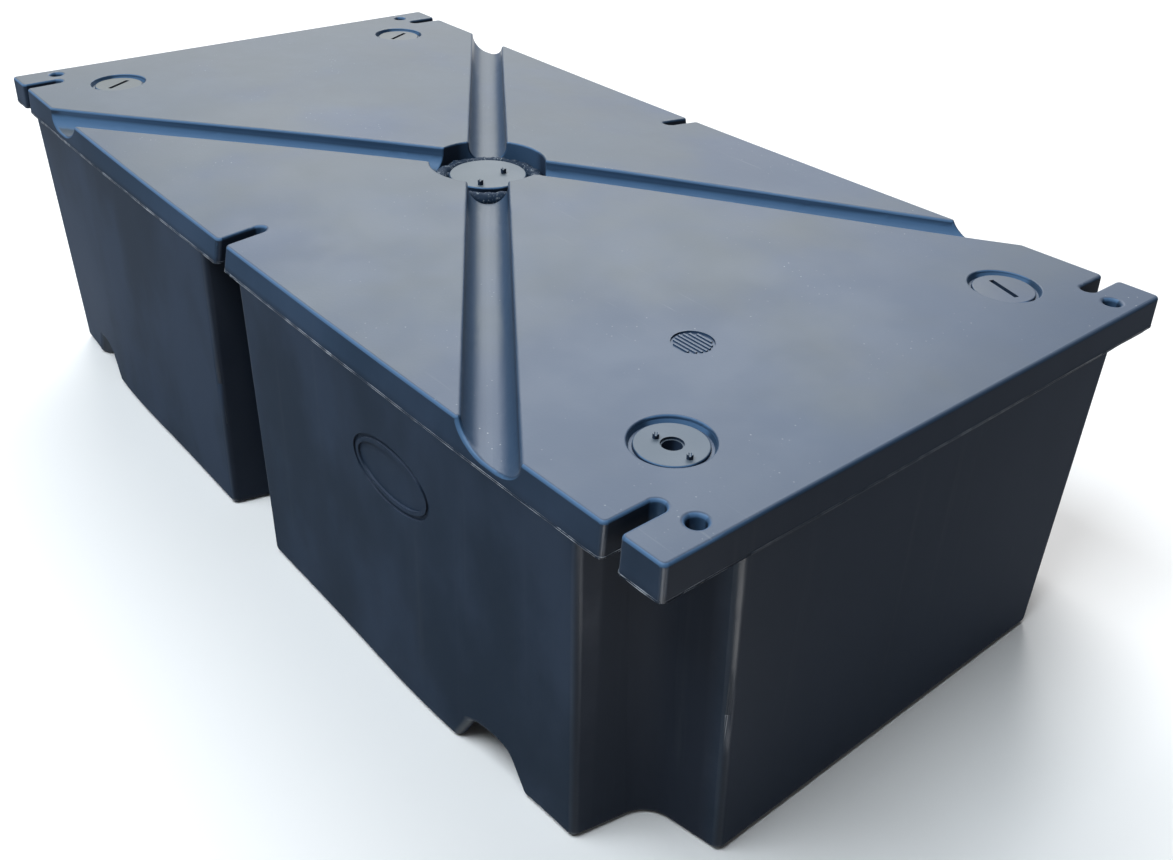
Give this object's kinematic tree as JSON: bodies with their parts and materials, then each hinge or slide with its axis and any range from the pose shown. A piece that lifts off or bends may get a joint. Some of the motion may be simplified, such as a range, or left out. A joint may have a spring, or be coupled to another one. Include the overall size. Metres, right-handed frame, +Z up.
{
  "type": "dock float drum",
  "caption": "Closed rectangular float with a top flange, open bolt slots, bolt holes at the corners, crossed drain grooves in the deck, hollowed corners and screwed filling plugs.",
  "frame": {"origin": "centre of the box that holds the float, at the level of the flat base", "axes": "+X along the length towards the short side that stands nearest in the picture, -Y towards the long side with the oval field, +Z up through the deck"},
  "size_m": [1.219, 0.6332, 0.3479],
  "materials": {
    "shell": "satin moulded polyethylene, near-black navy",
    "plug": "satin moulded polyethylene, near-black navy"
  },
  "bodies": {
    "root": {"float_shell": "shell", "centre_plug": "plug", "slotted_plug_far_left": "plug", "slotted_plug_far_right": "plug", "slotted_plug_near_right": "plug", "vented_plug_near_left": "plug"}
  },
  "joints": []
}
